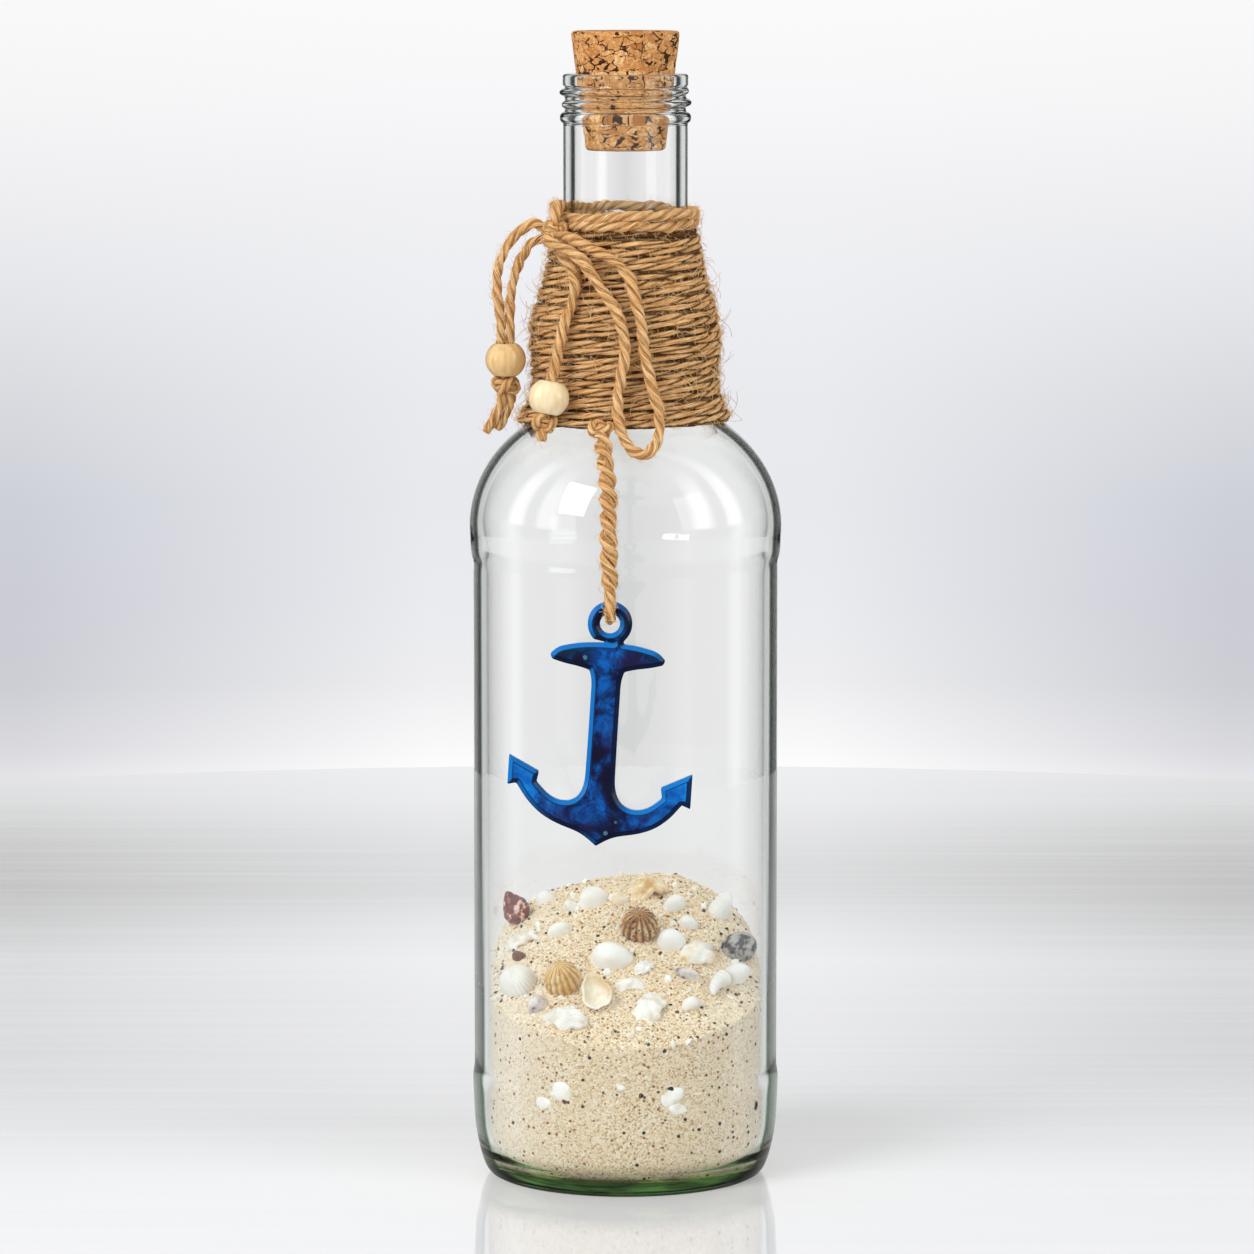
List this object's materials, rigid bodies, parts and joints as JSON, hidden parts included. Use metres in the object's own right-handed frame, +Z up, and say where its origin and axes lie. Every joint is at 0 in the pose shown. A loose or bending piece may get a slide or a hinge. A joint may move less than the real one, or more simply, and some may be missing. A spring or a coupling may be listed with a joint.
{
  "type": "decorative bottle",
  "caption": "Clear glass bottle with a tapered cork, a screw-type finish, sand and shells inside, a twine-wound neck, a beaded twine bow and a flat anchor pendant.",
  "frame": {"origin": "middle of the underside of the base, on the surface that the bottle stands on", "axes": "+Z up along the bottle's axis, -Y towards the front where the anchor hangs, +X to the right seen from the front"},
  "size_m": [0.0746, 0.0814, 0.2743],
  "materials": {
    "glass": "clear, faintly green, glossy",
    "cork": "pressed cork granules, matt",
    "twine": "three-ply jute, matt and hairy",
    "sand": "coarse sand with dark and rusty grains",
    "bead_wood": "pale wood, lacquered",
    "anchor_enamel": "mottled blue enamel, glossy",
    "shell_white": "white shell, satin",
    "shell_tan": "ochre shell, satin",
    "shell_brown": "red-brown shell, satin",
    "shell_grey": "grey shell, satin"
  },
  "bodies": {
    "bottle_body": {"bottle": "glass", "sand_bed": "sand", "bulb_shell": "shell_white", "cup_shell_cream": "shell_tan", "fragment_centre": "shell_white", "fragment_front": "shell_white", "fragment_left": "shell_white", "fragment_middle": "shell_white", "fragment_peak": "shell_tan", "fragment_right": "shell_white", "fragment_side": "shell_white", "fragment_small": "shell_grey", "fragment_yellow": "shell_tan", "horn_shell": "shell_white", "oval_shell_back": "shell_white", "oval_shell_large": "shell_white", "pebble_dark": "shell_brown", "pebble_far_left": "shell_white", "pebble_far_right": "shell_white", "pebble_left": "shell_white", "pebble_middle": "shell_white", "pebble_near_left": "shell_white", "pebble_right": "shell_white", "round_shell": "shell_white", "scallop_shell": "shell_white", "snail_shell_grey": "shell_grey", "snail_shell_red": "shell_brown", "snail_shell_ribbed": "shell_tan", "snail_shell_spotted": "shell_brown", "tall_shell": "shell_white", "tube_fragment": "shell_grey", "twine_underlay": "twine", "neck_twine": "twine", "tie_twine": "twine", "bow_knot": "twine", "pendant_hitch": "twine"},
    "cork": {"cork_stopper": "cork"},
    "pendant": {"pendant_cord": "twine"},
    "anchor_plate": {"anchor": "anchor_enamel"},
    "left_tassel": {"left_string_outer": "twine", "left_string_inner": "twine", "left_stopper_knot": "twine", "left_string_end": "twine"},
    "left_bead_ring": {"left_bead": "bead_wood"},
    "tail_tassel": {"tail_string": "twine", "tail_stopper_knot": "twine", "tail_string_end": "twine"},
    "tail_bead_ring": {"tail_bead": "bead_wood"},
    "bow": {"bow_loop": "twine"}
  },
  "joints": [
    {"name": "cork_pull", "type": "slide", "parent": "bottle_body", "child": "cork", "axis": [0, 0, 1], "range_m": [0, 0.03]},
    {"name": "pendant_swing", "type": "hinge", "parent": "bottle_body", "child": "pendant", "pos_m": [-0.0056, -0.0289, 0.1805], "axis": [0, 1, 0], "range_deg": [-20, 20]},
    {"name": "anchor_tip", "type": "hinge", "parent": "pendant", "child": "anchor_plate", "pos_m": [-0.0036, -0.0402, 0.14157], "axis": [-1, 0, 0], "range_deg": [-2, 70]},
    {"name": "left_tassel_swing", "type": "hinge", "parent": "bottle_body", "child": "left_tassel", "pos_m": [-0.01656, -0.01275, 0.2269], "axis": [1, 0, 0], "range_deg": [-20, 20]},
    {"name": "left_bead_slide", "type": "slide", "parent": "left_tassel", "child": "left_bead_ring", "axis": [0, 0, 1], "range_m": [0, 0.005]},
    {"name": "tail_tassel_lift", "type": "hinge", "parent": "bottle_body", "child": "tail_tassel", "pos_m": [-0.01656, -0.01275, 0.2269], "axis": [-0.9536, 0.3011, 0], "range_deg": [0, 18]},
    {"name": "tail_bead_slide", "type": "slide", "parent": "tail_tassel", "child": "tail_bead_ring", "axis": [0.189, 0.081, 0.9786], "range_m": [0, 0.005]},
    {"name": "bow_loop_lift", "type": "hinge", "parent": "bottle_body", "child": "bow", "pos_m": [-0.01656, -0.01275, 0.2269], "axis": [-0.9536, 0.3011, 0], "range_deg": [0, 50]}
  ]
}
